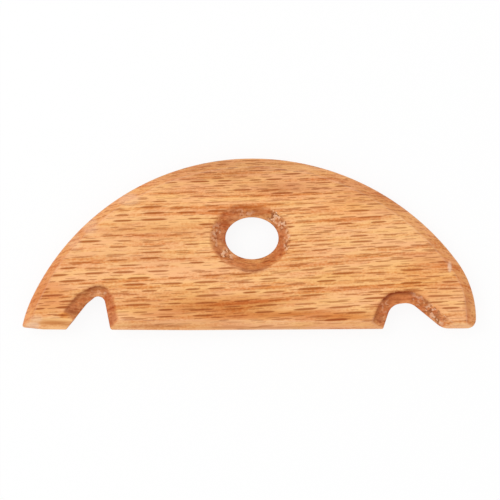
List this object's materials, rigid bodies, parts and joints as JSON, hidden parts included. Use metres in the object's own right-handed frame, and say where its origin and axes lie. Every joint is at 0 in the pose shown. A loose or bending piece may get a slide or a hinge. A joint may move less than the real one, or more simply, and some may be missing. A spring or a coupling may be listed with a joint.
{
  "type": "throwing rib",
  "caption": "Half-moon hardwood throwing rib with bevelled edges, an oval finger hole, and a hooked and a round notch in its straight edge for shaping feet and rims.",
  "frame": {"origin": "centre of the outline's length and height, on the back face that the rib lies on", "axes": "+X along the straight edge and the grain, from toe to heel; +Y from the straight edge to the crown of the domed edge; +Z out of the front face, through the thickness"},
  "size_m": [0.1524, 0.0578, 0.0095],
  "materials": {
    "red_oak": "oiled satin"
  },
  "bodies": {
    "root": {"rib_body": "red_oak"}
  },
  "joints": []
}
